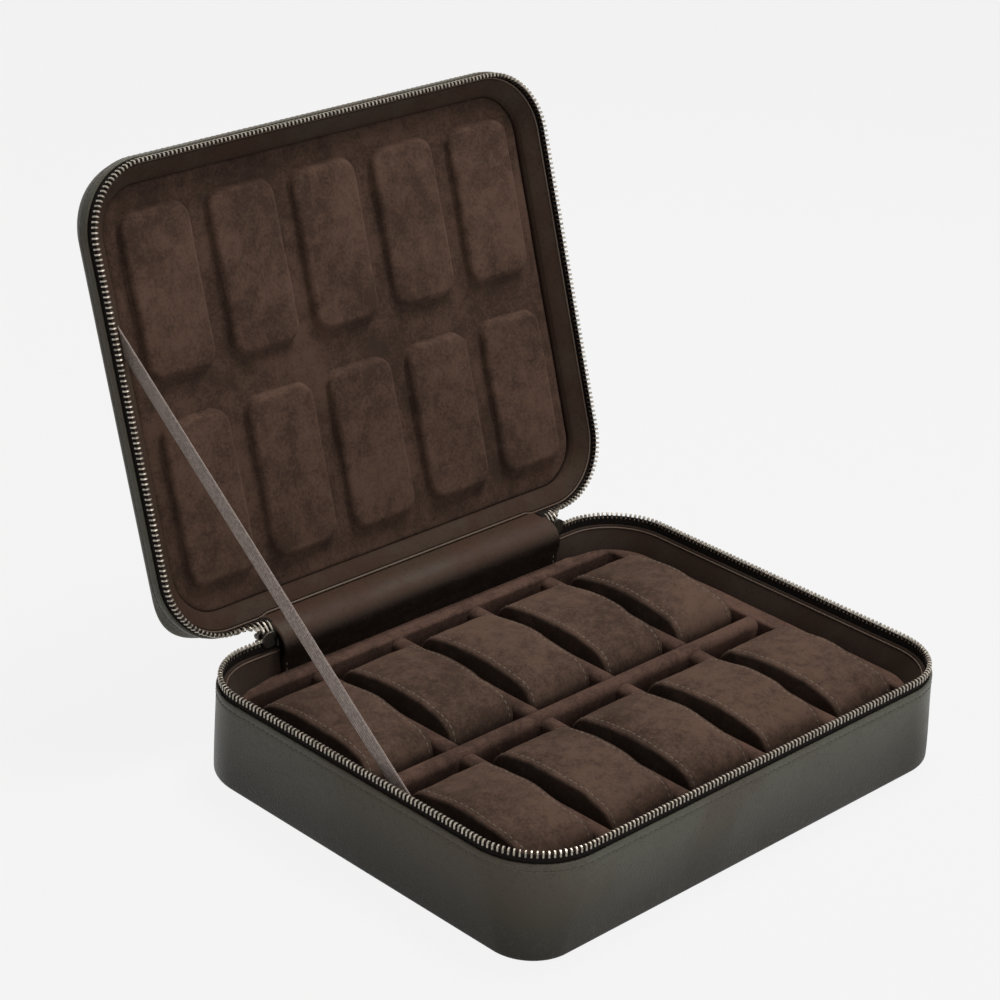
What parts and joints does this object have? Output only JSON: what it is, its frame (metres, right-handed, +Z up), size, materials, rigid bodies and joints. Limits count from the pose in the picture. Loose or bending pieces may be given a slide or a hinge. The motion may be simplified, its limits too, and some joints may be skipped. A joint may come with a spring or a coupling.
{
  "type": "watch travel case",
  "caption": "Zip-round leather travel case for watches: a padded tray of lift-out cushions under a lid that a ribbon holds open.",
  "frame": {"origin": "centre of the flat underside, under the middle of the case's width and depth", "axes": "+Z up from the table; X along the hinge; -Y the front, where the lid opens; +Y the hinge side"},
  "size_m": [0.31, 0.3404, 0.289],
  "materials": {
    "outer_leather": "satin",
    "lining_leather": "satin",
    "suede": "matte",
    "board": "matte",
    "zip_tape": "matte",
    "zip_metal": "satin",
    "ribbon": "satin"
  },
  "bodies": {
    "base": {"base_board": "board", "base_leather_wall": "outer_leather", "base_bottom_panel": "outer_leather", "base_zip_tape": "zip_tape", "base_zip_teeth": "zip_metal", "base_zip_stops": "zip_metal", "base_collar": "lining_leather", "tray_floor": "suede", "tray_ledge": "suede", "centre_divider": "suede", "front_dividers": "suede", "rear_dividers": "suede", "hinge_spine": "outer_leather", "hinge_gusset": "lining_leather", "stay_ribbon": "ribbon"},
    "lid": {"lid_board": "board", "lid_leather": "outer_leather", "lid_zip_tape": "zip_tape", "lid_zip_teeth": "zip_metal", "lid_zip_stops": "zip_metal", "lid_border": "lining_leather", "lid_panel": "suede"},
    "left_slider": {"zip_slider_left": "zip_metal"},
    "right_slider": {"zip_slider_right": "zip_metal"},
    "left_pull": {"pull_tab_left": "zip_metal"},
    "right_pull": {"pull_tab_right": "zip_metal"},
    "front_cushion_1": {"front_cushion_1": "suede"},
    "front_cushion_2": {"front_cushion_2": "suede"},
    "front_cushion_3": {"front_cushion_3": "suede"},
    "front_cushion_4": {"front_cushion_4": "suede"},
    "front_cushion_5": {"front_cushion_5": "suede"},
    "rear_cushion_1": {"rear_cushion_1": "suede"},
    "rear_cushion_2": {"rear_cushion_2": "suede"},
    "rear_cushion_3": {"rear_cushion_3": "suede"},
    "rear_cushion_4": {"rear_cushion_4": "suede"},
    "rear_cushion_5": {"rear_cushion_5": "suede"}
  },
  "joints": [
    {"name": "lid_hinge", "type": "hinge", "parent": "base", "child": "lid", "pos_m": [0, 0.1255, 0.0541], "axis": [1, 0, 0], "range_deg": [0, 108], "deforming": ["hinge_spine", "hinge_gusset", "stay_ribbon"]},
    {"name": "left_slider_slide", "type": "slide", "parent": "base", "child": "left_slider", "axis": [1, 0, 0], "range_m": [-0.008, 0]},
    {"name": "left_pull_swing", "type": "hinge", "parent": "left_slider", "child": "left_pull", "pos_m": [-0.10395, 0.125, 0.0541], "axis": [1, 0, 0], "range_deg": [-3, 60]},
    {"name": "right_slider_slide", "type": "slide", "parent": "base", "child": "right_slider", "axis": [-1, 0, 0], "range_m": [-0.008, 0]},
    {"name": "right_pull_swing", "type": "hinge", "parent": "right_slider", "child": "right_pull", "pos_m": [0.10395, 0.125, 0.0541], "axis": [1, 0, 0], "range_deg": [-3, 60]},
    {"name": "front_cushion_1_lift", "type": "slide", "parent": "base", "child": "front_cushion_1", "axis": [0, 0, -1], "range_m": [-0.06, 0]},
    {"name": "front_cushion_2_lift", "type": "slide", "parent": "base", "child": "front_cushion_2", "axis": [0, 0, -1], "range_m": [-0.06, 0]},
    {"name": "front_cushion_3_lift", "type": "slide", "parent": "base", "child": "front_cushion_3", "axis": [0, 0, -1], "range_m": [-0.06, 0]},
    {"name": "front_cushion_4_lift", "type": "slide", "parent": "base", "child": "front_cushion_4", "axis": [0, 0, -1], "range_m": [-0.06, 0]},
    {"name": "front_cushion_5_lift", "type": "slide", "parent": "base", "child": "front_cushion_5", "axis": [0, 0, -1], "range_m": [-0.06, 0]},
    {"name": "rear_cushion_1_lift", "type": "slide", "parent": "base", "child": "rear_cushion_1", "axis": [0, 0, -1], "range_m": [-0.06, 0]},
    {"name": "rear_cushion_2_lift", "type": "slide", "parent": "base", "child": "rear_cushion_2", "axis": [0, 0, -1], "range_m": [-0.06, 0]},
    {"name": "rear_cushion_3_lift", "type": "slide", "parent": "base", "child": "rear_cushion_3", "axis": [0, 0, -1], "range_m": [-0.06, 0]},
    {"name": "rear_cushion_4_lift", "type": "slide", "parent": "base", "child": "rear_cushion_4", "axis": [0, 0, -1], "range_m": [-0.06, 0]},
    {"name": "rear_cushion_5_lift", "type": "slide", "parent": "base", "child": "rear_cushion_5", "axis": [0, 0, -1], "range_m": [-0.06, 0]}
  ]
}
